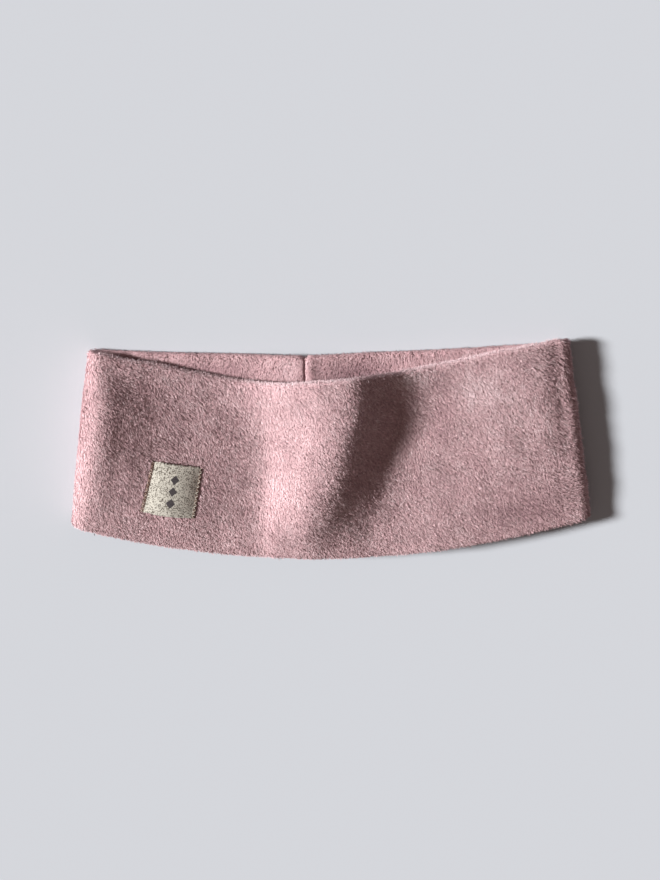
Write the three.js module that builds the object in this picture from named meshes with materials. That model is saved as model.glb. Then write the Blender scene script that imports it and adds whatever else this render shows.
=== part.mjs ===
// A fleece headband, put down on its back wall with its front wall arched over it.
// An outer layer and a lining, both of fleece, lie one in the other. They meet along
// both edges of the band, and one upright seam closes them in the back wall. A woven tab
// is sewn to the front.
// Millimetres, +Z up. The back wall lies on z = 0, +Y runs to the band's upper edge, and
// the origin is the middle of the footprint.

import * as THREE from "three";

// Driving dimensions of the band as it lies. A bow is how far the middle of an edge
// lies below the ends of that edge.
const UPPER_WIDTH = 230.5; // from fold to fold along the upper edge
const LOWER_WIDTH = 262; // from fold to fold along the lower edge
const SIDE_HEIGHT = 94; // from the lower edge to the upper edge, at the folds
const FRONT_UPPER_BOW = 9;
const FRONT_LOWER_BOW = 20.5;
const BACK_UPPER_BOW = 4.2;
const BACK_LOWER_BOW = 10;
const FRONT_UPPER_DRIFT = 7; // most that the upper edge strays from its bow
const LOWER_PULL = 0.45; // how far the lower edge is drawn in, as a share of its rise
const OUTER_THICKNESS = 2.1;
const LINING_THICKNESS = 1.9;
const LAYER_GAP = 0.3; // between the outer layer and the lining
const WALL_SPACE = 2.2; // between front and back where the front wall lies lowest
const ARCH_RISE = 18; // from the lowest to the highest place of the front wall
const FOLD_FULLNESS = 0.38; // reach of a side's bend, as a share of its height

// The seam that closes the band, in the back wall.
const SEAM_X = -11.5; // from the middle of the band
const SEAM_DEPTH = 1; // of the groove in each layer
const SEAM_HALF_WIDTH = 1.2; // of the groove
const SEAM_LIFT = 2.5; // how high the stiff seam holds the back wall up
const SEAM_LIFT_REACH = 38; // how far to each side of the seam that swell runs

// The sewn tab.
const TAB_WIDTH = 26.2;
const TAB_HEIGHT = 29;
const TAB_FLARE = 0.09; // how much wider its lower side is than its upper one, as a share
const TAB_THICKNESS = 0.9;
const TAB_PUFF = 1.9; // how far its middle stands above its sewn sides
const TAB_HOLLOW = 0.5; // share of that puff by which its underside stands off too
const TAB_SEAT = 0.3; // between the tab and the fleece
const TAB_FROM_FOLD = 45.5; // from the left fold to the middle of the tab
const TAB_ABOVE_LOWER_EDGE = 35; // from the lower edge to the middle of the tab
const TAB_TURN = -13; // degrees

// How finely the walls are cut into faces.
const FRONT_STEPS = 40;
const BACK_STEPS = 22;
const FOLD_STEPS = 8;
const HEIGHT_STEPS = 9;
const EDGE_STEPS = 2;
const TAB_STEPS = 8;

// Lines that run down the front wall, from left to right. high_at and low_at are their
// places at the upper and the lower edge, from -1 at the left bend to 1 at the right one.
// high, upper, lower and low are their heights at the upper edge, at UPPER_LEVEL, at
// LOWER_LEVEL and at the lower edge, as shares of ARCH_RISE. drift is how far the upper
// edge strays there, as a share of FRONT_UPPER_DRIFT.
const UPPER_LEVEL = 0.75;
const LOWER_LEVEL = 0.3;
const FRONT_COLUMNS = ["line", "high_at", "low_at", "high", "upper", "lower", "low", "drift"];
const FRONT_LINES = [
  ["left_bend", -1, -1, 0.14, 0.66, 0.6, 0.28, 0.3],
  ["left_crown", -0.9, -0.92, 0.14, 0.52, 0.52, 0.26, 0.06],
  ["left_slope", -0.77, -0.79, 0.11, 0.32, 0.4, 0.21, -0.05],
  ["left_foot", -0.6, -0.61, 0.04, 0.16, 0.24, 0.13, -0.52],
  ["left_hollow", -0.4, -0.41, 0.05, 0.05, 0.07, 0.05, -0.96],
  ["rise_foot", -0.29, -0.3, 0.22, 0.13, 0.1, 0.05, -0.97],
  ["rise", -0.18, -0.23, 0.64, 0.55, 0.4, 0.16, -0.51],
  ["ridge_left", -0.06, -0.16, 0.92, 0.9, 0.66, 0.22, -0.05],
  ["ridge", 0.05, -0.11, 1, 1.02, 0.73, 0.24, 0.16],
  ["ridge_right", 0.12, -0.05, 0.93, 0.93, 0.66, 0.22, 0.22],
  ["drop", 0.21, 0.03, 0.62, 0.57, 0.42, 0.16, 0.08],
  ["drop_foot", 0.33, 0.16, 0.25, 0.14, 0.15, 0.09, -0.13],
  ["right_flat", 0.5, 0.42, 0.11, 0.07, 0.12, 0.12, 0.02],
  ["right_rise", 0.77, 0.72, 0.16, 0.17, 0.13, 0.05, 0.5],
  ["right_crown", 0.92, 0.9, 0.14, 0.17, 0.12, 0, 0.58],
  ["right_bend", 1, 1, -0.04, 0.04, 0.03, -0.07, 0.6],
].map((row) => Object.fromEntries(row.map((value, i) => [FRONT_COLUMNS[i], value])));

const BELOW_MIDDLE = LAYER_GAP / 2 + OUTER_THICKNESS; // from between the layers outwards
const WALL = OUTER_THICKNESS + LAYER_GAP + LINING_THICKNESS;
const FLOOR_TO_LOWEST_FRONT = 2 * WALL + WALL_SPACE;
const DEGREE = Math.PI / 180;
const FRONT = 90; // degrees round a side's bend at which the front wall starts
const BACK = -90;

const mix = THREE.MathUtils.lerp;

// A smooth curve through a few known values. The slope at each is taken from its
// neighbours, and the curve leaves its two ends level.
function curveThrough(places, values, at) {
  const last = places.length - 1;
  const x = THREE.MathUtils.clamp(at, places[0], places[last]);
  let i = 0;
  while (i < last - 1 && x > places[i + 1]) i += 1;
  const slope = (k) =>
    k === 0 || k === last ? 0 : (values[k + 1] - values[k - 1]) / (places[k + 1] - places[k - 1]);
  const span = places[i + 1] - places[i];
  const t = (x - places[i]) / span;
  const rise = values[i + 1] - values[i];
  const start = slope(i) * span;
  const end = slope(i + 1) * span;
  return values[i] + t * (start + t * (3 * rise - 2 * start - end + t * (start + end - 2 * rise)));
}

const halfWidth = (v) => mix(LOWER_WIDTH, UPPER_WIDTH, v) / 2;

// Height of one of the FRONT_LINES at share v of the band's height, and the places of
// them all across the wall there.
const LEVELS = [0, LOWER_LEVEL, UPPER_LEVEL, 1];
const lineHeight = (row, v) => curveThrough(LEVELS, [row.low, row.lower, row.upper, row.high], v);
const linePlaces = (v) =>
  FRONT_LINES.map((row) => mix(row.low_at, row.high_at, v * v * (3 - 2 * v)));

// Height of the front wall's outer face over the surface, at share v of the band's
// height and a place across from -1 to 1.
function frontHeight(across, v) {
  const shares = FRONT_LINES.map((row) => lineHeight(row, v));
  return FLOOR_TO_LOWEST_FRONT + ARCH_RISE * curveThrough(linePlaces(v), shares, across);
}

// Height of the back wall's outer face over the surface: a low swell round the seam.
function backHeight(x) {
  const off = Math.min(Math.abs(x - SEAM_X) / SEAM_LIFT_REACH, 1);
  return (SEAM_LIFT * (1 + Math.cos(Math.PI * off))) / 2;
}

const foldReach = (side, v) => FOLD_FULLNESS * frontHeight(side, v);

function wallX(across, v) {
  const left = -halfWidth(v) + foldReach(-1, v);
  const right = halfWidth(v) - foldReach(1, v);
  return mix(left, right, (across + 1) / 2);
}

// y of the front wall and of the back wall, at share v of the height. share is x as a
// share of the half width.
function frontY(across, share, v) {
  const drifts = FRONT_LINES.map((row) => row.drift);
  const drift = FRONT_UPPER_DRIFT * curveThrough(linePlaces(1), drifts, across);
  const upper = SIDE_HEIGHT / 2 - FRONT_UPPER_BOW * (1 - share * share) + drift;
  const rises = FRONT_LINES.map((row) => row.low);
  const pull = LOWER_PULL * ARCH_RISE * curveThrough(linePlaces(0), rises, across);
  const lower = -SIDE_HEIGHT / 2 - FRONT_LOWER_BOW * (1 - share * share) + pull;
  return mix(lower, upper, v);
}

function backY(share, v) {
  const upper = SIDE_HEIGHT / 2 - BACK_UPPER_BOW * (1 - share * share);
  const lower = -SIDE_HEIGHT / 2 - BACK_LOWER_BOW * (1 - share * share);
  return mix(lower, upper, v);
}

// A point of the surface between the two layers. turn is 90 on the front wall, -90 on
// the back wall, and in between round a side's bend.
function bandPoint(across, turn, v) {
  const side = Math.sign(across);
  const outwards = Math.cos(turn * DEGREE);
  const x = wallX(across, v) + side * foldReach(side, v) * outwards;
  const share = x / halfWidth(v);
  const frontShare = (1 + Math.sin(turn * DEGREE)) / 2;
  const y = mix(backY(share, v), frontY(across, share, v), frontShare);
  const bottom = backHeight(x) + BELOW_MIDDLE;
  const top = frontHeight(across, v) - BELOW_MIDDLE;
  return new THREE.Vector3(x, y, mix(bottom, top, frontShare));
}

// The places round the band, in order: right bend, front wall, left bend, back wall. The
// back wall's places are closer together at the seam, and hold its groove. None of its
// evenly spread places is nearer to the seam than SEAM_CLEAR of the groove's half widths.
const SEAM_CLEAR = 4;
function placesRound() {
  const places = [];
  const bend = (across, from, to) => {
    for (let i = 0; i < FOLD_STEPS; i += 1)
      places.push({ across, turn: mix(from, to, i / FOLD_STEPS) });
  };
  bend(1, BACK, FRONT);
  for (let i = 0; i < FRONT_STEPS; i += 1)
    places.push({ across: mix(1, -1, i / FRONT_STEPS), turn: FRONT });
  bend(-1, FRONT, BACK);
  const halfway = 0.5;
  const reach = wallX(1, halfway) - wallX(-1, halfway);
  const seam = (2 * (SEAM_X - wallX(-1, halfway))) / reach - 1;
  const half = (2 * SEAM_HALF_WIDTH) / reach;
  const groove = [-2, -1, 0, 1, 2].map((k) => seam + k * half);
  const plain = [];
  for (let i = 0; i < BACK_STEPS; i += 1) plain.push(mix(-1, 1, i / BACK_STEPS));
  const clear = plain.filter((a) => Math.abs(a - seam) > SEAM_CLEAR * half);
  const across = [...clear, ...groove].sort((a, b) => a - b);
  across.forEach((a) => {
    const off = (a - seam) / half;
    places.push({ across: a, turn: BACK, groove: Math.exp(-off * off) });
  });
  return places;
}

// The way out of the band at a place of the loop, from its neighbours along and across.
function outwards(places, j, v) {
  const count = places.length;
  const step = 0.01;
  const at = (k, w) => {
    const place = places[(k + count) % count];
    return bandPoint(place.across, place.turn, w);
  };
  const along = at(j + 1, v).sub(at(j - 1, v));
  const up = at(j, Math.min(v + step, 1)).sub(at(j, Math.max(v - step, 0)));
  return up.cross(along).normalize();
}

// The outline of one layer, cut from edge to edge: v along the height, and off away from
// the surface between the layers. Its edges are rounded over towards the other layer.
function layerOutline(thickness, side) {
  const start = LAYER_GAP / 2;
  const edge = (i) => {
    const angle = ((i / EDGE_STEPS) * Math.PI) / 2;
    return {
      v: (thickness * (1 - Math.cos(angle))) / SIDE_HEIGHT,
      off: side * (start + thickness * Math.sin(angle)),
    };
  };
  const outline = [];
  for (let i = 0; i <= EDGE_STEPS; i += 1) outline.push(edge(i));
  for (let i = 1; i < HEIGHT_STEPS; i += 1)
    outline.push({ v: i / HEIGHT_STEPS, off: side * (start + thickness) });
  for (let i = EDGE_STEPS; i >= 0; i -= 1) outline.push({ v: 1 - edge(i).v, off: edge(i).off });
  for (let i = HEIGHT_STEPS - 1; i > 0; i -= 1)
    outline.push({ v: i / HEIGHT_STEPS, off: side * start });
  return outline;
}

function geometryFrom(rings, index) {
  const geometry = new THREE.BufferGeometry().setFromPoints(rings.flat());
  geometry.setIndex(index);
  geometry.computeVertexNormals();
  return geometry;
}

// A closed mesh from rings of points, each ring joined to the next and the last one to
// the first.
function closedLoop(rings, flip) {
  const size = rings[0].length;
  const index = [];
  rings.forEach((ring, j) => {
    const next = (j + 1) % rings.length;
    for (let k = 0; k < size; k += 1) {
      const after = (k + 1) % size;
      const [a, b] = [j * size + k, j * size + after];
      const [c, d] = [next * size + k, next * size + after];
      if (flip) index.push(a, b, c, c, b, d);
      else index.push(a, c, b, b, c, d);
    }
  });
  return geometryFrom(rings, index);
}

// A closed mesh from rings of points, with a flat end on the first and the last ring.
// Each ring holds an upper row of points and then the lower row, the other way round.
function closedStack(rings) {
  const size = rings[0].length;
  const index = [];
  for (let j = 0; j < rings.length - 1; j += 1)
    for (let k = 0; k < size; k += 1) {
      const after = (k + 1) % size;
      const [a, b] = [j * size + k, j * size + after];
      const [c, d] = [a + size, b + size];
      index.push(a, b, c, c, b, d);
    }
  const end = (first, flip) => {
    for (let k = 0; k < size / 2 - 1; k += 1) {
      const [a, b] = [first + k, first + k + 1];
      const [c, d] = [first + size - 1 - k, first + size - 2 - k];
      if (flip) index.push(a, b, c, c, b, d);
      else index.push(a, c, b, b, c, d);
    }
  };
  end(0, false);
  end((rings.length - 1) * size, true);
  return geometryFrom(rings, index);
}

// One layer of the band. side is 1 for the outer layer and -1 for the lining. Where the
// back wall lies on the surface, the outer layer's face is level.
function layerGeometry(thickness, side) {
  const places = placesRound();
  const outline = layerOutline(thickness, side);
  const down = new THREE.Vector3(0, 0, -1);
  const rings = places.map((place, j) =>
    outline.map(({ v, off }) => {
      const depth = Math.abs(off) - LAYER_GAP / 2;
      const sunk = (SEAM_DEPTH * (place.groove ?? 0) * depth) / thickness;
      const away = place.turn === BACK ? down : outwards(places, j, v);
      return bandPoint(place.across, place.turn, v).addScaledVector(away, off - side * sunk);
    }),
  );
  return closedLoop(rings, side > 0);
}

// The place across and the share of the height of the front wall that lie over x and y,
// found by drawing nearer to them step by step.
function placeOver(x, y) {
  const steps = 12;
  let v = 0.5;
  let across = 0;
  for (let i = 0; i < steps; i += 1) {
    const left = wallX(-1, v);
    across = (2 * (x - left)) / (wallX(1, v) - left) - 1;
    const share = x / halfWidth(v);
    const lower = frontY(across, share, 0);
    v = (y - lower) / (frontY(across, share, 1) - lower);
  }
  return { across, v };
}

// A point off the front wall's outer face, off millimetres away from it.
function overFront(x, y, off) {
  const step = 1;
  const at = (dx, dy) => {
    const { across, v } = placeOver(x + dx, y + dy);
    return bandPoint(across, FRONT, v);
  };
  const along = at(step, 0).sub(at(-step, 0));
  const up = at(0, step).sub(at(0, -step));
  const away = along.cross(up).normalize();
  return at(0, 0).addScaledVector(away, BELOW_MIDDLE + off);
}

// y of the front wall's lower edge at x.
function lowerEdgeY(x) {
  const left = wallX(-1, 0);
  const across = (2 * (x - left)) / (wallX(1, 0) - left) - 1;
  return frontY(across, x / halfWidth(0), 0);
}

function tabGeometry() {
  const tabX = TAB_FROM_FOLD - halfWidth(TAB_ABOVE_LOWER_EDGE / SIDE_HEIGHT);
  const tabY = lowerEdgeY(tabX) + TAB_ABOVE_LOWER_EDGE;
  const turn = TAB_TURN * DEGREE;
  const place = (a, b, off) => {
    const right = (a * TAB_WIDTH * (1 - (b * TAB_FLARE) / 2)) / 2;
    const up = (b * TAB_HEIGHT) / 2;
    const x = tabX + right * Math.cos(turn) - up * Math.sin(turn);
    const y = tabY + right * Math.sin(turn) + up * Math.cos(turn);
    return overFront(x, y, off);
  };
  const row = (b, upper) => {
    const points = [];
    for (let i = 0; i <= TAB_STEPS; i += 1) {
      const a = mix(-1, 1, i / TAB_STEPS);
      const puff = TAB_PUFF * (1 - a * a);
      const above = upper ? TAB_THICKNESS + puff : TAB_HOLLOW * puff;
      points.push(place(a, b, TAB_SEAT + above));
    }
    return points;
  };
  const rings = [];
  for (let i = 0; i <= TAB_STEPS; i += 1) {
    const b = mix(-1, 1, i / TAB_STEPS);
    rings.push([...row(b, true), ...row(b, false).reverse()]);
  }
  return closedStack(rings);
}

function piece(name, geometry, color, roughness) {
  const material = new THREE.MeshStandardMaterial({ color, roughness, metalness: 0 });
  const mesh = new THREE.Mesh(geometry, material);
  mesh.name = name;
  return mesh;
}

const headband = new THREE.Group();
headband.add(
  piece("outer_layer", layerGeometry(OUTER_THICKNESS, 1), "#c9a3a6", 0.95),
  piece("lining", layerGeometry(LINING_THICKNESS, -1), "#c39da1", 0.95),
  piece("woven_tab", tabGeometry(), "#c4bbab", 0.85),
);

// The origin goes to the middle of the footprint, at the surface.
const box = new THREE.Box3().setFromObject(headband);
const middle = box.getCenter(new THREE.Vector3());
headband.position.set(-middle.x, -middle.y, -box.min.z);

export default headband;
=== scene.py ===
"""Looks of the fleece headband: its two cloth layers, nap, sewn tab, floor, light and camera.

Metres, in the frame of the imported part: +Z up from the surface that the band lies on, +Y to
its upper edge, and the origin in the middle of the footprint.
"""

import logging
import math
from dataclasses import dataclass, field, fields
from enum import Enum
from typing import Callable

import bpy
import numpy as np
from mathutils import Matrix, Vector


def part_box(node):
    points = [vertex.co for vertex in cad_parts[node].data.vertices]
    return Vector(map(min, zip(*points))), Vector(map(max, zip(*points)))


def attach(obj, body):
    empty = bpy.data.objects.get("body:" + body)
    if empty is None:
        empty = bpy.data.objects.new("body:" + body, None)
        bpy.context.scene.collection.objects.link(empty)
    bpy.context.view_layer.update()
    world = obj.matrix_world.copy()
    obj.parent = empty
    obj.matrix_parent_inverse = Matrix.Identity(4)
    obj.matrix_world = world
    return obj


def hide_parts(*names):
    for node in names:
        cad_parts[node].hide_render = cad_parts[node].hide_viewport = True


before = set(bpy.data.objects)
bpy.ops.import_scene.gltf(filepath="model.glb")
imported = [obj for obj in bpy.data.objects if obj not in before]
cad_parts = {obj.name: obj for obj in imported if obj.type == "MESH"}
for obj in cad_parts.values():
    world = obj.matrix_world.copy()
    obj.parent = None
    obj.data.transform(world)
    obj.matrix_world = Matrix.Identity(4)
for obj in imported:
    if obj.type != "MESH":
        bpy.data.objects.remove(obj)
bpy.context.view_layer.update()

Array = np.ndarray
Color = tuple[float, float, float]

LOG = logging.getLogger("headband")
BODY = "root"
BAKE_MAP = "OFBake"
MM = 0.001
SQUARE_MM = 1e6
FRONT = 90.0
BACK = -90.0
TIP_GLOSS = 0.12
ROOT_ROUGHNESS = 0.98
STREAK_TURN = 35
STREAK_STRETCH = 0.32
STREAK_SCALE = 1500.0
CLOUD_SCALE = 90.0


class Layer(Enum):
    """The two layers of the band, by the way that their napped face looks."""

    OUTER = 1
    LINING = -1


def mix(low: Array, high: Array, share: Array) -> Array:
    """Blend from low to high by share."""
    return low + (high - low) * share


def unit(vectors: Array) -> Array:
    """Scale each row of vectors to length one."""
    return vectors / np.maximum(np.linalg.norm(vectors, axis=-1, keepdims=True), 1e-12)


def bell(distance: Array, width: float) -> Array:
    """Give a smooth bump of height one, from the distance to its middle."""
    return np.exp(-np.square(distance / width))


def smooth_step(low: float, high: float, at: Array) -> Array:
    """Rise smoothly from 0 at low to 1 at high."""
    share = np.clip((at - low) / (high - low), 0.0, 1.0)
    return share * share * (3.0 - 2.0 * share)


def curve_through(places: Array, values: Array, at: Array) -> Array:
    """Read smooth curves that pass through known values and leave their ends level.

    Args:
        places: Rising places of the known values, one row for each reading.
        values: The values there, in the same shape.
        at: The place to read in each row.

    Returns:
        One value for each row.
    """
    slopes = np.zeros_like(values)
    slopes[:, 1:-1] = (values[:, 2:] - values[:, :-2]) / (places[:, 2:] - places[:, :-2])
    x = np.clip(at, places[:, 0], places[:, -1])
    i = (x[:, None] > places[:, 1:-1]).sum(axis=1)
    rows = np.arange(len(x))
    span = places[rows, i + 1] - places[rows, i]
    t = (x - places[rows, i]) / span
    rise = values[rows, i + 1] - values[rows, i]
    start = slopes[rows, i] * span
    end = slopes[rows, i + 1] * span
    return values[rows, i] + t * (
        start + t * (3 * rise - 2 * start - end + t * (start + end - 2 * rise))
    )


@dataclass(frozen=True)
class SoftNoise:
    """A smooth random field over the plane, as a sum of seeded waves.

    Attributes:
        seed: Seed of the waves.
        shortest: Shortest wave, in metres.
        longest: Longest wave, in metres.
        waves: How many waves are added up.
    """

    seed: int
    shortest: float
    longest: float
    waves: int = 28

    def at(self, x: Array, y: Array) -> Array:
        """Read the field.

        Args:
            x: First coordinate, in metres.
            y: Second coordinate, in metres.

        Returns:
            Values that spread about zero by roughly one.
        """
        rng = np.random.default_rng(self.seed)
        total = np.zeros_like(x)
        for _ in range(self.waves):
            length = math.exp(rng.uniform(math.log(self.shortest), math.log(self.longest)))
            turn = rng.uniform(0, 2 * math.pi)
            phase = rng.uniform(0, 2 * math.pi)
            number = 2 * math.pi / length
            total += np.sin(number * (x * math.cos(turn) + y * math.sin(turn)) + phase)
        return total * math.sqrt(2 / self.waves)


@dataclass(frozen=True)
class FrontLine:
    """A line that runs down the front wall.

    Attributes:
        name: What it follows.
        high_at: Place across at the upper edge, from -1 to 1.
        low_at: Place across at the lower edge.
        high: Height at the upper edge, as a share of the arch's rise.
        upper: Height at the upper level.
        lower: Height at the lower level.
        low: Height at the lower edge.
        drift: How far the upper edge strays there, as a share of the most that it does.
    """

    name: str
    high_at: float
    low_at: float
    high: float
    upper: float
    lower: float
    low: float
    drift: float


@dataclass(frozen=True)
class Lump:
    """A soft round mark on the front wall: a rise or dent, or a patch of nap made lighter or
    darker, some of it painted light and shade.

    Attributes:
        name: Where it lies.
        x: Its middle, in metres.
        y: Its middle, in metres.
        wide: How far it reaches along x.
        high: How far it reaches along y.
        rise: Its height, less than zero for a dent; for nap, the change of its shade.
    """

    name: str
    x: float
    y: float
    wide: float
    high: float
    rise: float

    def at(self, x: Array, y: Array) -> Array:
        """Read the mark's strength."""
        return self.rise * bell(x - self.x, self.wide) * bell(y - self.y, self.high)


FRONT_LINES = (
    FrontLine("left_bend", -1, -1, 0.02, 0.64, 0.6, 0.28, 0.16),
    FrontLine("left_crown", -0.9, -0.92, 0.0, 0.5, 0.52, 0.26, -0.1),
    FrontLine("left_slope", -0.77, -0.79, -0.07, 0.3, 0.4, 0.21, -0.26),
    FrontLine("left_foot", -0.6, -0.61, -0.12, 0.15, 0.24, 0.13, -0.71),
    FrontLine("left_hollow", -0.4, -0.41, -0.1, 0.04, 0.07, 0.05, -1.14),
    FrontLine("rise_foot", -0.29, -0.3, 0.14, 0.12, 0.1, 0.05, -1.06),
    FrontLine("rise", -0.18, -0.23, 0.64, 0.55, 0.4, 0.16, -0.56),
    FrontLine("ridge_left", -0.06, -0.16, 0.92, 0.9, 0.66, 0.22, -0.14),
    FrontLine("ridge", 0.05, -0.11, 1, 1.02, 0.73, 0.24, 0.04),
    FrontLine("ridge_right", 0.12, -0.05, 0.93, 0.93, 0.66, 0.22, 0.09),
    FrontLine("drop", 0.21, 0.03, 0.62, 0.57, 0.42, 0.16, -0.06),
    FrontLine("drop_foot", 0.33, 0.16, 0.25, 0.14, 0.15, 0.09, -0.24),
    FrontLine("right_flat", 0.5, 0.42, 0.11, 0.07, 0.12, 0.12, -0.03),
    FrontLine("right_rise", 0.77, 0.72, 0.16, 0.17, 0.13, 0.05, 0.5),
    FrontLine("right_crown", 0.92, 0.9, 0.12, 0.15, 0.1, 0.0, 0.58),
    FrontLine("right_bend", 1, 1, 0.03, 0.05, 0.04, -0.04, 0.6),
)

# Patches where the front's nap is made lighter or darker. The mark beside the ridge's shadow is
# painted shade, and the two in the hollow are painted light in its shadow.
NAP_TONE_AND_PAINTED_LIGHT = (
    Lump("bright_crest", -0.022, 0.026, 0.009, 0.011, 0.09),
    Lump("bright_upper_right", 0.074, 0.034, 0.016, 0.009, 0.28),
    Lump("bright_right", 0.094, 0.016, 0.017, 0.012, 0.12),
    # Painted shade beside the ridge's cast shadow.
    Lump("beside_shadow", 0.055, 0.022, 0.006, 0.018, -0.22),
    Lump("dark_lower_right", 0.1, -0.033, 0.022, 0.011, -0.3),
    Lump("dark_lower_middle", 0.062, -0.018, 0.013, 0.006, -0.1),
    Lump("dark_upper_left", -0.106, 0.022, 0.008, 0.011, -0.08),
    Lump("dark_left", -0.101, 0.006, 0.009, 0.012, -0.05),
    Lump("dark_beside_tab", -0.055, -0.012, 0.006, 0.009, -0.08),
    Lump("bright_lower_left", -0.028, -0.016, 0.009, 0.012, 0.06),
    # Painted light in the shadowed hollow, at its top and its foot.
    Lump("hollow_top", 0.036, 0.041, 0.01, 0.005, 0.4),
    Lump("hollow_foot", 0.006, -0.031, 0.007, 0.011, 0.3),
)

# Painted light and shade on the lining where it shows: darker right of the seam and under the
# left of the front's lip, where shadow falls, and lighter left of the seam.
LINING_PAINTED_LIGHT = (
    Lump("right_of_seam", 0.014, 0.041, 0.017, 0.006, -0.62),
    Lump("left_of_seam", -0.022, 0.046, 0.008, 0.005, 0.15),
    Lump("under_left_lip", -0.062, 0.043, 0.028, 0.005, -0.45),
)

LUMPS = (
    Lump("left_dent", -0.085, 0.018, 0.012, 0.014, -0.0006),
    Lump("above_tab", -0.062, 0.004, 0.010, 0.008, 0.0004),
    Lump("right_dent", 0.098, -0.022, 0.016, 0.009, -0.0007),
    Lump("right_swell", 0.074, 0.016, 0.014, 0.016, 0.0005),
)


def rows_of(values: tuple[float, ...], like: Array) -> Array:
    """Repeat values as one row for each entry of an array."""
    return np.tile(np.array(values, dtype=float), (len(like), 1))


def column(name: str, like: Array) -> Array:
    """Repeat a column of the front lines as one row for each entry of an array."""
    return rows_of(tuple(getattr(line, name) for line in FRONT_LINES), like)


@dataclass
class BandShape:
    """The surface between the two layers of the band, with the sizes of the CAD model.

    Places along x and y are in the shape's own frame, until point adds the shift.

    Attributes:
        front_upper_drift: The most that the front's upper edge strays from its bow.
        lower_pull: Share of a rise by which the lower edge is pulled up.
        wall_space: Space between the front and the back wall where they lie closest.
        arch_rise: Height of the ridge over the lowest place of the front.
        fold_fullness: Reach of a side's bend, as a share of its height.
        lower_level: Share of the band's height where a front line has its lower height.
        upper_level: Share of the band's height where it has its upper height.
        seam_lift_reach: How far to either side of the seam the back wall lifts off.
        plan_steps: How many steps find the share of the height under a place on the plan.
        shift: The way from the shape's own place to its place in the part's frame.
    """

    upper_width: float = 0.2305
    lower_width: float = 0.262
    side_height: float = 0.094
    front_upper_bow: float = 0.009
    front_lower_bow: float = 0.0205
    back_upper_bow: float = 0.0042
    back_lower_bow: float = 0.010
    front_upper_drift: float = 0.007
    lower_pull: float = 0.45
    outer_thickness: float = 0.0021
    lining_thickness: float = 0.0019
    layer_gap: float = 0.0003
    wall_space: float = 0.0022
    arch_rise: float = 0.018
    fold_fullness: float = 0.38
    lower_level: float = 0.3
    upper_level: float = 0.75
    seam_x: float = -0.0115
    seam_lift: float = 0.0025
    seam_lift_reach: float = 0.038
    ripple_height: float = 0.00013
    ripple: SoftNoise = SoftNoise(11, 0.016, 0.045)
    plan_steps: int = 12
    shift: Array = field(default_factory=lambda: np.zeros(3))

    @property
    def below_middle(self) -> float:
        """Depth from the outer layer's face to the surface between the layers."""
        return self.layer_gap / 2 + self.outer_thickness

    @property
    def lowest_front(self) -> float:
        """Height of the front wall's face where it lies lowest."""
        wall = self.outer_thickness + self.layer_gap + self.lining_thickness
        return 2 * wall + self.wall_space

    def raised(self, share: Array) -> Array:
        """Height of the front wall's face at shares of the arch's rise."""
        return self.lowest_front + self.arch_rise * share

    def half_width(self, v: Array) -> Array:
        """Half of the band's width at share v of its height."""
        return mix(self.lower_width, self.upper_width, v) / 2

    def line_height(self, line: FrontLine, v: Array) -> Array:
        """Height of a front line at share v of the band's height, as a share of the rise."""
        levels = rows_of((0.0, self.lower_level, self.upper_level, 1.0), v)
        return curve_through(levels, rows_of((line.low, line.lower, line.upper, line.high), v), v)

    def line_places(self, v: Array) -> Array:
        """Places across of all front lines, one row for each v."""
        low, high = column("low_at", v), column("high_at", v)
        return mix(low, high, smooth_step(0.0, 1.0, v)[:, None])

    def front_height(self, across: Array, v: Array) -> Array:
        """Height of the front wall's face over the surface that the band lies on."""
        heights = np.stack([self.line_height(line, v) for line in FRONT_LINES], axis=1)
        return self.raised(curve_through(self.line_places(v), heights, across))

    def fold_reach(self, side: Array | int, v: Array) -> Array:
        """How far a side's bend reaches out past the flat walls; side is -1 or 1."""
        left, right = (self.line_height(FRONT_LINES[end], v) for end in (0, -1))
        return self.fold_fullness * self.raised(np.where(side < 0, left, right))

    def wall_x(self, across: Array | int, v: Array) -> Array:
        """Place along x of the flat walls."""
        left, right = (self.half_width(v) - self.fold_reach(side, v) for side in (-1, 1))
        return mix(-left, right, (across + 1) / 2)

    def across_at(self, x: Array | float, v: Array) -> Array:
        """Place across at places along x."""
        left, right = (self.wall_x(end, v) for end in (-1, 1))
        return 2 * (x - left) / (right - left) - 1

    def back_height(self, x: Array) -> Array:
        """Height of the back wall's face, with its low swell round the seam."""
        off = np.minimum(np.abs(x - self.seam_x) / self.seam_lift_reach, 1.0)
        return self.seam_lift * (1 + np.cos(math.pi * off)) / 2

    def front_y(self, across: Array, share: Array, v: Array) -> Array:
        """Place along y of the front wall.

        Args:
            across: Places across, from -1 at the left bend to 1 at the right one.
            share: Places along x, as shares of half the band's width.
            v: Shares of the band's height.

        Returns:
            One place for each row.
        """
        drift = curve_through(column("high_at", v), column("drift", v), across)
        rise = curve_through(self.line_places(np.zeros_like(v)), column("low", v), across)
        half, bow = self.side_height / 2, 1 - share * share
        upper = half - self.front_upper_bow * bow + self.front_upper_drift * drift
        lower = -half - self.front_lower_bow * bow + self.lower_pull * self.arch_rise * rise
        return mix(lower, upper, v)

    def back_y(self, share: Array, v: Array) -> Array:
        """Place along y of the back wall, at shares of half the width and of the height."""
        half, bow = self.side_height / 2, 1 - share * share
        return mix(-half - self.back_lower_bow * bow, half - self.back_upper_bow * bow, v)

    def relief(self, across: Array, x: Array, y: Array) -> Array:
        """Height that the lumps and ripples add to the front wall."""
        ripples = self.ripple_height * self.ripple.at(x, y)
        return sum((lump.at(x, y) for lump in LUMPS), ripples) * (1 - across * across)

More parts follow.
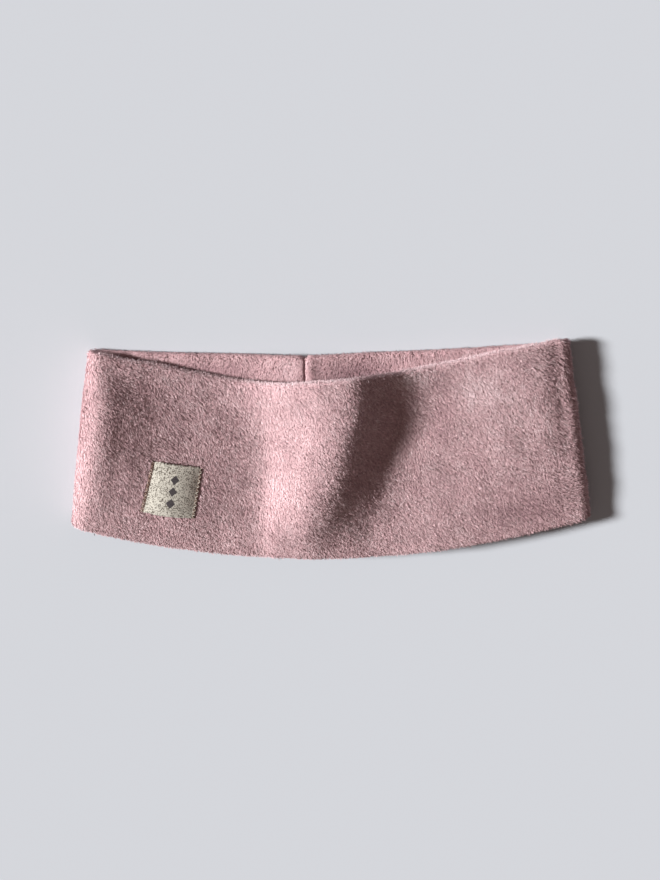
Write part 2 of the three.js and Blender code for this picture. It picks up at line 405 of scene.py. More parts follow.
    def point(self, across: Array, turn: Array, v: Array) -> Array:
        """Find points of the surface between the layers.

        Args:
            across: Place across, from -1 at the left bend to 1 at the right one.
            turn: Degrees round a side's bend: 90 on the front wall, -90 on the back wall.
            v: Share of the band's height.

        Returns:
            One row for each point, in the part's frame.
        """
        side = np.sign(across)
        x = self.wall_x(across, v) + side * self.fold_reach(side, v) * np.cos(np.radians(turn))
        share = x / self.half_width(v)
        front = (1 + np.sin(np.radians(turn))) / 2
        y = mix(self.back_y(share, v), self.front_y(across, share, v), front)
        bottom = self.back_height(x) + self.below_middle
        top = self.front_height(across, v) - self.below_middle + self.relief(across, x, y)
        return np.stack([x, y, mix(bottom, top, front)], axis=-1) + self.shift

    def lower_edge_y(self, x: float) -> float:
        """Place along y of the front wall's lower edge at a place along x."""
        low = np.zeros(1)
        return float(self.front_y(self.across_at(x, low), x / self.half_width(low), low)[0])

    def under_plan(self, x: Array, y: Array) -> Array:
        """Find points between the layers of the front wall from their places on the plan.

        Args:
            x: Places along x.
            y: Places along y.

        Returns:
            One row for each point, in the part's frame.
        """
        v = np.full_like(x, 0.5)
        across = np.zeros_like(x)
        for _ in range(self.plan_steps):
            across, share = self.across_at(x, v), x / self.half_width(v)
            lower, upper = (self.front_y(across, share, np.full_like(v, end)) for end in (0, 1))
            v = (y - lower) / (upper - lower)
        return self.point(across, np.full_like(v, FRONT), v)

    def over_front(self, x: Array, y: Array, off: Array) -> Array:
        """Find points off the face of the front wall.

        Args:
            x: Places along x.
            y: Places along y.
            off: Distances away from the face.

        Returns:
            One row for each point, in the part's frame.
        """
        along = self.under_plan(x + MM, y) - self.under_plan(x - MM, y)
        up = self.under_plan(x, y + MM) - self.under_plan(x, y - MM)
        away = unit(np.cross(along, up))
        return self.under_plan(x, y) + away * (self.below_middle + off)[:, None]


def new_mesh(name: str, points: Array, faces: Array, sizes: Array) -> bpy.types.Mesh:
    """Make a mesh from arrays.

    Args:
        name: Name of the mesh.
        points: One row for each vertex.
        faces: Vertex numbers of all faces, one after the other.
        sizes: How many corners each face has.

    Returns:
        The mesh, shaded smooth.
    """
    mesh = bpy.data.meshes.new(name)
    mesh.vertices.add(len(points))
    mesh.vertices.foreach_set("co", points.astype(np.float32).ravel())
    mesh.loops.add(len(faces))
    mesh.loops.foreach_set("vertex_index", faces.astype(np.int32))
    mesh.polygons.add(len(sizes))
    starts = np.concatenate([[0], np.cumsum(sizes)[:-1]])
    mesh.polygons.foreach_set("loop_start", starts.astype(np.int32))
    mesh.polygons.foreach_set("use_smooth", np.ones(len(sizes), dtype=bool))
    mesh.update(calc_edges=True)
    return mesh


def new_piece(
    name: str, mesh: bpy.types.Mesh, material: bpy.types.Material
) -> bpy.types.Object:
    """Link a mesh as a piece that rides on the part's one body.

    Args:
        name: Name of the piece.
        mesh: Its mesh.
        material: Its material.

    Returns:
        The piece.
    """
    mesh.materials.append(material)
    piece = bpy.data.objects.new(name, mesh)
    bpy.context.scene.collection.objects.link(piece)
    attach(piece, BODY)
    return piece


def triangles(piece: bpy.types.Object) -> int:
    """Count a piece's triangles.

    Args:
        piece: The piece.

    Returns:
        How many triangles its faces are cut into.
    """
    sizes = np.empty(len(piece.data.polygons), dtype=np.int32)
    piece.data.polygons.foreach_get("loop_total", sizes)
    return int((sizes - 2).sum())


def report(piece: bpy.types.Object) -> None:
    """Log a piece's name and its triangles."""
    LOG.info("%s: %d triangles", piece.name, triangles(piece))


@dataclass
class Patch:
    """The napped face of a cloth layer, cut into four-cornered fields.

    Attributes:
        corners: Fields x 4 corners x 3 coordinates.
        normals: The face's normals at those corners.
        along: Direction along the band, to the right on the front wall.
        up: Direction up the band.
        across: Place across of each field.
        turn: Degrees round the bend of each field.
        v: Share of the band's height of each field.
    """

    corners: Array
    normals: Array
    along: Array
    up: Array
    across: Array
    turn: Array
    v: Array

    @property
    def middles(self) -> Array:
        """Middle of each field."""
        return self.corners.mean(axis=1)

    @property
    def areas(self) -> Array:
        """Work out the area of each field.

        Returns:
            One area for each field, in square metres.
        """
        first = self.corners[:, 2] - self.corners[:, 0]
        second = self.corners[:, 3] - self.corners[:, 1]
        return np.linalg.norm(np.cross(first, second), axis=1) / 2

    def only(self, keep: Array) -> "Patch":
        """Give the fields that keep marks."""
        return Patch(*(getattr(self, part.name)[keep] for part in fields(self)))


class Nodes:
    """A short way to add nodes to a tree and to join them."""

    def __init__(self, tree: bpy.types.NodeTree) -> None:
        """Keep the tree to add to."""
        self.tree = tree

    def add(self, kind: str, **values: object) -> bpy.types.Node:
        """Add a node.

        Args:
            kind: Its type.
            **values: Settings of the node.

        Returns:
            The node.
        """
        node = self.tree.nodes.new(kind)
        for name, value in values.items():
            setattr(node, name, value)
        return node

    def join(self, start: bpy.types.NodeSocket, end: bpy.types.NodeSocket) -> None:
        """Join an output to an input."""
        self.tree.links.new(start, end)

    def math(self, operation: str, *values: object) -> bpy.types.NodeSocket:
        """Add a math node.

        Args:
            operation: What it works out.
            *values: A socket or a number for each of its inputs.

        Returns:
            Its output.
        """
        node = self.add("ShaderNodeMath", operation=operation)
        for socket, value in zip(node.inputs, values):
            self.feed(socket, value)
        return node.outputs[0]

    def feed(self, socket: bpy.types.NodeSocket, value: object) -> None:
        """Join a socket to an input, or set the input to a constant.

        Args:
            socket: The input.
            value: A socket or a constant.
        """
        if isinstance(value, bpy.types.NodeSocket):
            self.join(value, socket)
        else:
            socket.default_value = value

    def split(self, vector: bpy.types.NodeSocket) -> bpy.types.Node:
        """Add a node that gives the parts of a vector.

        Args:
            vector: The vector.

        Returns:
            The node.
        """
        node = self.add("ShaderNodeSeparateXYZ")
        self.join(vector, node.inputs["Vector"])
        return node

    def noise(
        self, vector: bpy.types.NodeSocket, scale: float, detail: float
    ) -> bpy.types.NodeSocket:
        """Add a noise texture.

        Args:
            vector: Where it is read.
            scale: Its scale.
            detail: Its detail.

        Returns:
            Its factor.
        """
        node = self.add("ShaderNodeTexNoise")
        self.join(vector, node.inputs["Vector"])
        node.inputs["Scale"].default_value = scale
        node.inputs["Detail"].default_value = detail
        return node.outputs["Fac"]

    def bump(
        self, height: bpy.types.NodeSocket, distance: float, strength: float
    ) -> bpy.types.NodeSocket:
        """Add a bump node.

        Args:
            height: What it reads.
            distance: Height of the bumps, in metres.
            strength: How much of them shows.

        Returns:
            Its normal.
        """
        node = self.add("ShaderNodeBump")
        node.inputs["Strength"].default_value = strength
        node.inputs["Distance"].default_value = distance
        self.join(height, node.inputs["Height"])
        return node.outputs["Normal"]

    def ramp(
        self, value: bpy.types.NodeSocket, stops: tuple[tuple[float, Color], ...]
    ) -> bpy.types.NodeSocket:
        """Add a colour ramp.

        Args:
            value: What it reads.
            stops: Places and colours, from left to right.

        Returns:
            Its colour.
        """
        node = self.add("ShaderNodeValToRGB")
        band = node.color_ramp
        while len(band.elements) < len(stops):
            band.elements.new(0.5)
        for element, (place, color) in zip(band.elements, stops):
            element.position = place
            element.color = (*color, 1.0)
        self.join(value, node.inputs["Fac"])
        return node.outputs["Color"]

    def blend(
        self, mode: str, share: object, first: object, second: object
    ) -> bpy.types.NodeSocket:
        """Add a colour mix node.

        Args:
            mode: How it mixes.
            share: How much of it counts, a socket or a number.
            first: A colour socket or a colour.
            second: A colour socket or a colour.

        Returns:
            Its colour.
        """
        node = self.add("ShaderNodeMix", data_type="RGBA", blend_type=mode)
        self.feed(node.inputs["Factor"], share)
        for name, value in (("A", first), ("B", second)):
            socket = next(s for s in node.inputs if s.name == name and s.type == "RGBA")
            self.feed(socket, value if isinstance(value, bpy.types.NodeSocket) else (*value, 1.0))
        return next(s for s in node.outputs if s.type == "RGBA")


def new_material(name: str) -> tuple[bpy.types.Material, Nodes, bpy.types.Node]:
    """Make a material with nodes.

    Args:
        name: Its name.

    Returns:
        The material, its nodes and its shader.
    """
    material = bpy.data.materials.new(name)
    material.use_nodes = True
    shader = material.node_tree.nodes["Principled BSDF"]
    return material, Nodes(material.node_tree), shader


def new_group(
    name: str, takes: dict[str, str], gives: tuple[str, ...]
) -> tuple[bpy.types.NodeTree, Nodes, bpy.types.Node, bpy.types.Node]:
    """Make a node group.

    Args:
        name: Its name.
        takes: Its inputs, each with its kind.
        gives: Its outputs, all plain numbers.

    Returns:
        The group, its nodes, and the nodes where its inputs start and its outputs end.
    """
    group = bpy.data.node_groups.new(name, "ShaderNodeTree")
    for socket, kind in takes.items():
        group.interface.new_socket(socket, in_out="INPUT", socket_type=f"NodeSocket{kind}")
    for socket in gives:
        group.interface.new_socket(socket, in_out="OUTPUT", socket_type="NodeSocketFloat")
    nodes = Nodes(group)
    return group, nodes, nodes.add("NodeGroupInput"), nodes.add("NodeGroupOutput")


def root_shade_group() -> bpy.types.NodeTree:
    """Make the node group that lightens a fibre from its root to its tip, as painted shade low in
    the nap.

    Returns:
        The group: a place along the fibre and the share that its root keeps go in, and a
        factor for the colour and a roughness come out.
    """
    group, nodes, start, end = new_group(
        "fibre_root_shade", {"Place": "Float", "Root": "Float"}, ("Fade", "Roughness")
    )
    rest = nodes.math("SUBTRACT", 1.0, start.outputs["Root"])
    fade = nodes.math("MULTIPLY", start.outputs["Place"], rest)
    nodes.join(nodes.math("ADD", fade, start.outputs["Root"]), end.inputs["Fade"])
    drop = nodes.math("MULTIPLY", start.outputs["Place"], TIP_GLOSS)
    nodes.join(nodes.math("SUBTRACT", ROOT_ROUGHNESS, drop), end.inputs["Roughness"])
    return group


def streak_group() -> bpy.types.NodeTree:
    """Make the node group of fine slanted streaks that cloth shows between its fibres.

    Returns:
        The group: a vector goes in, and a mask of the streaks and of larger clouds come out.
    """
    group, nodes, start, end = new_group(
        "nap_streaks", {"Vector": "Vector"}, ("Streaks", "Clouds")
    )
    turned = nodes.add("ShaderNodeMapping")
    turned.inputs["Rotation"].default_value = (0.0, 0.0, math.radians(STREAK_TURN))
    turned.inputs["Scale"].default_value = (1.0, STREAK_STRETCH, 1.0)
    nodes.join(start.outputs["Vector"], turned.inputs["Vector"])
    streaks = nodes.noise(turned.outputs["Vector"], STREAK_SCALE, 2.0)
    nodes.join(streaks, end.inputs["Streaks"])
    nodes.join(nodes.noise(start.outputs["Vector"], CLOUD_SCALE, 3.0), end.inputs["Clouds"])
    return group


@dataclass(frozen=True)
class FleeceFinish:
    """Brushed fleece: the knit below and the fibres that stand on it.

    Attributes:
        name: Start of the materials' names.
        dark: Colour of the deepest fibres.
        middle: Colour of most fibres.
        light: Colour of the lightest fibres.
        ground: Colour of the knit between them, darker than the fibres as painted shade in the
            gaps.
        root: Share of a fibre's colour that is left at its root, as painted shade low in the nap.
        sheen: How much the fibres lighten where they are seen from the side.
    """

    name: str
    dark: Color = (0.48, 0.29, 0.315)
    middle: Color = (0.76, 0.50, 0.52)
    light: Color = (0.97, 0.76, 0.78)
    ground: Color = (0.56, 0.35, 0.37)
    root: float = 0.68
    sheen: float = 0.1

    def nap_material(self, fade: bpy.types.NodeTree) -> bpy.types.Material:
        """Make the fibres' material, which reads their shade and height from their map.

        Args:
            fade: The group that lightens a fibre towards its tip, painted shade at its root.

        Returns:
            The material.
        """
        material, nodes, shader = new_material(f"{self.name}_nap")
        place = nodes.add("ShaderNodeUVMap", uv_map=BAKE_MAP)
        parts = nodes.split(place.outputs["UV"])
        stops = ((0.0, self.dark), (0.5, self.middle), (1.0, self.light))
        color = nodes.ramp(parts.outputs["X"], stops)
        group = nodes.add("ShaderNodeGroup", node_tree=fade)
        nodes.join(parts.outputs["Y"], group.inputs["Place"])
        group.inputs["Root"].default_value = self.root
        # Darker towards the root: painted shade low in the nap.
        shade = nodes.blend("MULTIPLY", 1.0, color, group.outputs["Fade"])
        nodes.join(shade, shader.inputs["Base Color"])
        nodes.join(group.outputs["Roughness"], shader.inputs["Roughness"])
        shader.inputs["Specular IOR Level"].default_value = 0.15
        shader.inputs["Sheen Weight"].default_value = self.sheen
        shader.inputs["Sheen Roughness"].default_value = 0.5
        shader.inputs["Sheen Tint"].default_value = (1.0, 0.9, 0.9, 1.0)
        return material

    def ground_material(self, streaks: bpy.types.NodeTree) -> bpy.types.Material:
        """Make the knit's material, with streaks as fine as the nap above it.

        Args:
            streaks: The group of slanted streaks.

        Returns:
            The material.
        """
        material, nodes, shader = new_material(f"{self.name}_ground")
        place = nodes.add("ShaderNodeTexCoord")
        group = nodes.add("ShaderNodeGroup", node_tree=streaks)
        nodes.join(place.outputs["Object"], group.inputs["Vector"])
        # The knit's darker colour, and its deep streaks most of all, are painted shade in the
        # gaps between the fibres.
        deep = tuple(0.6 * c for c in self.ground)
        color = nodes.ramp(group.outputs["Streaks"], ((0.3, deep), (0.7, self.middle)))
        share = nodes.math("MULTIPLY", group.outputs["Clouds"], 0.5)
        nodes.join(nodes.blend("MIX", share, color, self.ground), shader.inputs["Base Color"])
        rough = nodes.math("MULTIPLY_ADD", group.outputs["Streaks"], -0.1, 1.0)
        nodes.join(rough, shader.inputs["Roughness"])
        shader.inputs["Specular IOR Level"].default_value = 0.1
        shader.inputs["Sheen Weight"].default_value = self.sheen
        bump = nodes.bump(group.outputs["Streaks"], 0.0004, 0.8)
        nodes.join(bump, shader.inputs["Normal"])
        return material


def cut_fields(grid: Array, napped: int) -> Array:
    """Give the four corners of each field of a closed grid.

    Args:
        grid: Rows round the band, each with values from edge to edge.
        napped: How many values of a row belong to the napped face.

    Returns:
        Fields x 4 corners x 3 coordinates.
    """
    after = np.roll(grid, -1, axis=0)
    here, beyond = slice(0, napped - 1), slice(1, napped)
    corners = [grid[:, here], after[:, here], after[:, beyond], grid[:, beyond]]
    return np.stack(corners, axis=2).reshape(-1, 4, 3)


@dataclass
class ClothLayer:
    """One closed layer of fleece that runs round the band from edge to edge.

    Its knit is thinner than the CAD layer: the fibres fill the rest.

    Attributes:
        slot: Name of a slot for its finish; not used.
        back_steps: Fields across the back wall, apart from the close ones at the seam.
        edge_steps: Fields round a quarter of an edge.
        seam_half: Half of the stretch of close fields at the seam.
        seam_step: Width of a close field.
        seam_clear: Space between the close fields and the next others.
        groove_depth: Depth of the seam's groove.
        groove_width: Reach of the groove to either side.
        allowance_rise: Rise of the seam allowance on the right of the seam.
        right_allowance: Its middle and its reach, from the seam.
        left_allowance: The same on the left.
        left_share: Rise on the left, as a share of the one on the right.
        notch: How far the edge dips at the seam.
        notch_width: Reach of that dip.
        notch_from: Share of the height where it starts.
        level_step: Share of the height over which the walls' slope is read.
        flat_turn: Degrees round the bend from which the cloth starts to lie flat.
    """

    shape: BandShape
    layer: Layer
    name: str
    node: str
    slot: str
    knit: float = 0.0013
    front_steps: int = 130
    back_steps: int = 60
    fold_steps: int = 12
    height_steps: int = 34
    edge_steps: int = 4
    seam_half: float = 0.0085
    seam_step: float = 0.0004
    seam_clear: float = 0.008
    groove_depth: float = 0.0010
    groove_width: float = 0.00045
    allowance_rise: float = 0.0006
    right_allowance: tuple[float, float] = (0.0028, 0.0026)
    left_allowance: tuple[float, float] = (-0.0034, 0.003)
    left_share: float = 0.5
    notch: float = 0.0010
    notch_width: float = 0.0016
    notch_from: float = 0.9
    level_step: float = 0.004
    flat_turn: float = -60.0

    def places(self) -> tuple[Array, Array]:
        """List the places round the band.

        Returns:
            Places across, and degrees round the bend.
        """
        fold = np.arange(self.fold_steps) / self.fold_steps
        front = np.arange(self.front_steps) / self.front_steps
        half = np.array([0.5])
        left, right = (float(self.shape.wall_x(end, half)[0]) for end in (-1, 1))
        reach = right - left
        seam = 2 * (self.shape.seam_x - left) / reach - 1
        close = np.arange(-self.seam_half, self.seam_half + 1e-9, self.seam_step) * 2 / reach
        back = np.linspace(-1, 1, self.back_steps, endpoint=False)
        back = back[np.abs(back - seam) > close[-1] + self.seam_clear]
        back = np.sort(np.concatenate([back, seam + close]))
        across = np.concatenate(
            [np.ones_like(fold), mix(1.0, -1.0, front), -np.ones_like(fold), back]
        )
        rising, falling = mix(BACK, FRONT, fold), mix(FRONT, BACK, fold)
        flat = np.full_like(front, FRONT), np.full_like(back, BACK)
        return across, np.concatenate([rising, flat[0], falling, flat[1]])

    def outline(self) -> tuple[Array, Array, int]:
        """Cut the layer from edge to edge: shares of the height, and depths.

        Returns:
            The shares, the distances from the surface between the layers, and how many of
            the points belong to the napped face.
        """
        start = self.shape.layer_gap / 2
        side = self.layer.value
        angle = np.linspace(0, math.pi / 2, self.edge_steps + 1)
        edge_v = self.knit * (1 - np.cos(angle)) / self.shape.side_height
        edge_off = start + self.knit * np.sin(angle)
        inner = np.arange(1, self.height_steps) / self.height_steps
        v = np.concatenate([edge_v, inner, 1 - edge_v[::-1], inner[::-1]])
        face = np.full_like(inner, start + self.knit)
        off = np.concatenate([edge_off, face, edge_off[::-1], np.full_like(inner, start)])
        return v, side * off, 2 * (self.edge_steps + 1) + len(inner)

    def seam_sink(self, distance: Array) -> Array:
        """Depth of the seam's groove, less the rise of the allowances beside it.

        Args:
            distance: Distances from the seam, less than zero on its left.

        Returns:
            One depth for each distance.
        """
        groove = self.groove_depth * bell(distance, self.groove_width)
        middle, reach = self.right_allowance
        right = self.allowance_rise * bell(distance - middle, reach)
        middle, reach = self.left_allowance
        left = self.left_share * self.allowance_rise * bell(distance - middle, reach)
        return groove - right - left

    def grid(self) -> tuple[Array, Array, Array, Array, int]:
        """Work out the layer's points.

        Returns:
            The points, places round by places over the outline, the places across, the
            turns, the shares of the height, and how many outline points are napped.
        """
        across, turn = self.places()
        v, off, napped = self.outline()
        rings, cuts = len(across), len(v)
        a = np.repeat(across, cuts)
        t = np.repeat(turn, cuts)
        w = np.tile(v, rings)
        middle = self.shape.point(a, t, w).reshape(rings, cuts, 3)
        step = self.level_step
        above = self.shape.point(a, t, np.minimum(w + step, 1)).reshape(rings, cuts, 3)
        below = self.shape.point(a, t, np.maximum(w - step, 0)).reshape(rings, cuts, 3)
        along = np.roll(middle, -1, axis=0) - np.roll(middle, 1, axis=0)
        away = unit(np.cross(above - below, along))
        flat = smooth_step(self.flat_turn, BACK, turn)[:, None, None]
        away = unit(mix(away, np.array([0.0, 0.0, -1.0]), flat))
        start = self.shape.layer_gap / 2
        depth = (np.abs(off) - start) / self.knit
        distance = middle[..., 0] - self.shape.shift[0] - self.shape.seam_x
        on_back = (turn == BACK)[:, None]
        sink = self.seam_sink(distance) * depth[None, :] * on_back
        side = self.layer.value
        points = middle + away * (off[None, :] - side * sink)[..., None]
        dip = self.notch * bell(distance, self.notch_width) * on_back
        points[..., 1] -= dip * smooth_step(self.notch_from, 1.0, v)[None, :]
        return points, across, turn, v, napped

    def build(self, finish: FleeceFinish, streaks: bpy.types.NodeTree) -> bpy.types.Object:
        """Build the layer's knit.

        Args:
            finish: Its finish.
            streaks: The node group of the streaks.

        Returns:
            The piece.
        """
        points, *_ = self.grid()
        rings, cuts, _ = points.shape
        j, k = np.meshgrid(np.arange(rings), np.arange(cuts), indexing="ij")
        after, over = (j + 1) % rings, (k + 1) % cuts
        here, beside = j * cuts + k, j * cuts + over
        there, opposite = after * cuts + k, after * cuts + over
        order = [here, beside, opposite, there]
        if self.layer is Layer.LINING:
            order.reverse()
        faces = np.stack(order, axis=-1).reshape(-1)
        mesh = new_mesh(self.name, points.reshape(-1, 3), faces, np.full(rings * cuts, 4))
        piece = new_piece(self.name, mesh, finish.ground_material(streaks))
        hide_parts(self.node)
        report(piece)
        return piece

    def napped_patch(self) -> Patch:
        """Cut the face that carries the nap, with the rounded edges, into fields.

        Returns:
            The fields.
        """
        points, across, turn, v, napped = self.grid()
        side = self.layer.value
        along = np.roll(points, -1, axis=0) - np.roll(points, 1, axis=0)
        over = np.roll(points, -1, axis=1) - np.roll(points, 1, axis=1)
        over[:, 0] = points[:, 1] - points[:, 0]
        over[:, napped - 1] = points[:, napped - 1] - points[:, napped - 2]
        normals = side * unit(np.cross(over, along))
        corners = cut_fields(points, napped)
        count = napped - 1
        right = unit(corners[:, 0] - corners[:, 1])
        up = unit(corners[:, 3] - corners[:, 0])
        return Patch(
            corners,
            cut_fields(normals, napped),
            right,
            up,
            np.repeat(across, count),
            np.repeat(turn, count),
            np.tile(v[:count], len(across)),
        )


def spots(grid: Array, pick: Array, s: Array, t: Array) -> Array:
    """Read places inside fields.

    Args:
        grid: Fields x 4 corners x 3 coordinates.
        pick: Which field each place lies in.
        s: Share along the field for each place.
        t: Share up the field for each place.

    Returns:
        One row for each place.
    """
    low = mix(grid[pick, 0], grid[pick, 1], s)
    high = mix(grid[pick, 3], grid[pick, 2], s)
    return mix(low, high, t)


@dataclass(frozen=True)
class NapStyle:
    """How the fibres of one stretch of fleece lie.

    Attributes:
        density: Fibres on a square millimetre.
        length: Length of a fibre, in metres.
        width: Width of a fibre at its middle.
        lean: Degrees from upright.
        heading: Degrees from the way along the band, less than zero for down the band.
        swirl: Degrees by which the heading drifts from place to place.
        stray: Degrees by which the heading differs from tuft to tuft.
        tuft: Fibres in a tuft.
        spread: How far from a tuft's middle its fibres stand sideways.
        run: How far from it they stand along their heading.
        pull: Share of that spread that is left at their tips.
        shade: Middle shade of the fibres, from 0 to 1.
        contrast: How far the shade differs from tuft to tuft.
        painted_shade: How much darker the nap's colour is painted where it lies down a slope to
            the right, away from the light.
        tilt: How far the light on a tuft differs from the light on the cloth.
    """

    density: float = 10.0
    length: float = 0.00135
    width: float = 0.00029
    lean: float = 68.0
    heading: float = -56.0
    swirl: float = 10.0
    stray: float = 8.0
    tuft: int = 2
    spread: float = 0.00013
    run: float = 0.0005
    pull: float = 0.9
    shade: float = 0.5
    contrast: float = 0.16
    # Painted shade on slopes turned from the light.
    painted_shade: float = 0.2
    tilt: float = 0.08


FRONT_NAP = NapStyle()
# Nap along the front's upper rim, its colour made light as a painted highlight along the rim.
LIP_HIGHLIGHT_NAP = NapStyle(
    density=9.0,
    length=0.0012,
    width=0.0002,
    lean=66.0,
    heading=78.0,
    shade=0.85,
    contrast=0.12,
    tuft=1,
)
# Nap of the right fold: longer fibres, their colour a little darker as painted shade on the
# fold's side turned from the light.
FOLD_NAP = NapStyle(
    density=9.5,
    length=0.0019,
    lean=64.0,
    heading=-48.0,
    swirl=14.0,
    shade=0.46,
    contrast=0.15,
    tilt=0.07,
)
BACK_NAP = NapStyle(density=1.1, width=0.0006, length=0.0022)
BACK_EDGE_NAP = NapStyle(density=5.0, width=0.00034, length=0.0009)
STRIP_NAP = NapStyle(heading=-78.0, swirl=18.0, lean=74.0, contrast=0.1, tilt=0.04)
LINING_EDGE_NAP = NapStyle(density=5.0, width=0.00034, length=0.001)
DEEP_NAP = NapStyle(density=0.5, width=0.0006, length=0.0022)


@dataclass(frozen=True)
class Variety:
    """How far tufts differ from place to place, and fibres within their tuft.

    Attributes:
        lean_drift: Degrees by which the lean drifts from place to place.
        lean_stray: Degrees by which it differs from tuft to tuft.
        lean_limits: Least and most degrees from upright.
        shade_drift: How far the shade drifts from place to place.
        shade_limits: Least and greatest shade.
        length_stray: How far the length differs from tuft to tuft, as a share.
        own_turn: Degrees by which a fibre's heading differs from its tuft's.
        own_lean: Degrees by which its lean does.
        own_length: How far its length does, as a share.
        own_width: How far its width does, as a share.
        own_shade: How far its shade does.
        own_tilt: How far the light on it does, as a share of the tuft's tilt.
        roll: How far a blade rolls about its own length.
        arch: How far its middle arches up, as a share of its length.
        sunk: How deep its root sits in the knit.
        calm: How much livelier the nap is on a slope to the right.
        calm_limits: Least and greatest liveliness.
        steep: Slopes where the nap's painted shade starts and ends.
    """

    lean_drift: float = 4.0
    lean_stray: float = 5.0
    lean_limits: tuple[float, float] = (15.0, 80.0)
    shade_drift: float = 0.045
    shade_limits: tuple[float, float] = (0.01, 0.99)
    length_stray: float = 0.16
    own_turn: float = 8.0
    own_lean: float = 7.0
    own_length: float = 0.14
    own_width: float = 0.18
    own_shade: float = 0.07
    own_tilt: float = 0.7
    roll: float = 0.45
    arch: float = 0.14
    sunk: float = 0.00015
    calm: float = 1.5
    calm_limits: tuple[float, float] = (0.5, 1.9)
    steep: tuple[float, float] = (0.1, 0.5)


@dataclass
class Nap:
    """The fibres that stand on a stretch of fleece.

    Attributes:
        name: Name of the piece.
        slot: Name of a slot for its finish; not used.
        style: How the fibres lie.
        seed: Seed of their places and shades.
        bare: Tells for points which of them carry no fibre.
        marks: Patches where the nap's colour is made lighter or darker, some of them painted
            light and shade.
        floor: Lowest that a fibre may reach.
        vary: How far tufts and fibres differ.
        swirl_field: How the heading drifts over the plan.
        shade_field: How the shade drifts over it.
        lean_field: How the lean drifts over it.
        blade_heights: Places along a fibre of a blade's four points.
    """

    name: str
    slot: str
    style: NapStyle
    seed: int
    bare: Callable[[Array], Array] | None = None
    marks: tuple[Lump, ...] = ()
    floor: float = 0.00008
    vary: Variety = Variety()
    swirl_field: SoftNoise = SoftNoise(5, 0.012, 0.05)
    shade_field: SoftNoise = SoftNoise(7, 0.006, 0.03)
    lean_field: SoftNoise = SoftNoise(9, 0.008, 0.03)
    blade_heights: tuple[float, ...] = (0.02, 0.5, 0.5, 0.98)

    def tufts(self, patch: Patch, rng: np.random.Generator) -> tuple[Array, ...]:
        """Place the tufts evenly over the patch.

        Args:
            patch: The napped face.
            rng: The random numbers.

        Returns:
            Their places, normals, directions along and up the band.
        """
        style = self.style
        want = patch.areas * SQUARE_MM * style.density / style.tuft
        whole = np.floor(want).astype(int)
        whole += rng.random(len(want)) < want - whole
        pick = np.repeat(np.arange(len(want)), whole)
        s = rng.random((len(pick), 1))
        t = rng.random((len(pick), 1))
        places = spots(patch.corners, pick, s, t)
        normals = unit(spots(patch.normals, pick, s, t))
        along, up = patch.along[pick], patch.up[pick]
        if self.bare is not None:
            keep = ~self.bare(places)
            places, normals, along, up = places[keep], normals[keep], along[keep], up[keep]
        return places, normals, along, up

    def fibres(self, patch: Patch) -> tuple[Array, Array, Array]:
        """Shape the fibres as thin bent blades of four points.

        Args:
            patch: The napped face.

        Returns:
            Points, normals and map places, each fibres x 4 rows.
        """
        style, vary = self.style, self.vary
        rng = np.random.default_rng(self.seed)
        middle, normal, along, up = self.tufts(patch, rng)
        count = len(middle)
        x, y = middle[:, 0], middle[:, 1]
        slope = normal[:, 0]
        calm = np.clip(1 + vary.calm * slope, *vary.calm_limits)
        turn = style.heading + style.swirl * self.swirl_field.at(x, y)
        turn = np.radians(turn + style.stray * rng.standard_normal(count))
        lean = style.lean + vary.lean_drift * self.lean_field.at(x, y)
        lean = lean + vary.lean_stray * rng.standard_normal(count)
        lean = np.radians(np.clip(lean, *vary.lean_limits))
        shade = style.shade + vary.shade_drift * self.shade_field.at(x, y)
        # Lighter and darker patches of nap, some of them painted light and shade.
        for mark in self.marks:
            shade = shade + mark.at(x, y)
        # Painted shade: the nap is darker where the cloth slopes down to the right, away from the
        # light.
        shade = shade - style.painted_shade * smooth_step(*vary.steep, slope)
        shade = shade + style.contrast * calm * rng.standard_normal(count)
        length = style.length * np.exp(vary.length_stray * rng.standard_normal(count))
        up = unit(up - normal * (up * normal).sum(axis=1, keepdims=True))
        along = unit(along - normal * (along * normal).sum(axis=1, keepdims=True))
        tilt = style.tilt * calm[:, None] * rng.standard_normal((count, 3))

        own = np.repeat(np.arange(count), style.tuft)
        total = len(own)
        normal = normal[own]
        turn = turn[own] + np.radians(vary.own_turn) * rng.standard_normal(total)
        lean = lean[own] + np.radians(vary.own_lean) * rng.standard_normal(total)
        length = (length[own] * np.exp(vary.own_length * rng.standard_normal(total)))[:, None]
        heading = np.cos(turn)[:, None] * along[own] + np.sin(turn)[:, None] * up[own]
        across = unit(np.cross(normal, heading))
        stand = rng.standard_normal((total, 2))
        offset = style.spread * stand[:, :1] * across + style.run * stand[:, 1:] * heading
        reach = heading * np.sin(lean)[:, None] + normal * np.cos(lean)[:, None]
        root = middle[own] + offset - normal * vary.sunk
        tip = middle[own] + style.pull * offset + reach * length
        bend = mix(root, tip, 0.5) + vary.arch * length * normal
        across = unit(across + vary.roll * normal * rng.standard_normal((total, 1)))
        wide = np.exp(vary.own_width * rng.standard_normal((total, 1)))
        half = across * (style.width / 2) * wide
        points = np.stack([root, bend + half, bend - half, tip], axis=1)
        points[..., 2] = np.maximum(points[..., 2], self.floor)
        tilt = tilt[own] + vary.own_tilt * style.tilt * rng.standard_normal((total, 3))
        normals = np.repeat(unit(normal + tilt)[:, None, :], 4, axis=1)
        shade = shade[own] + vary.own_shade * rng.standard_normal(total)
        shade = np.repeat(np.clip(shade, *vary.shade_limits)[:, None], 4, axis=1)
        heights = np.tile(np.array(self.blade_heights), (total, 1))
        return points, normals, np.stack([shade, heights], axis=-1)

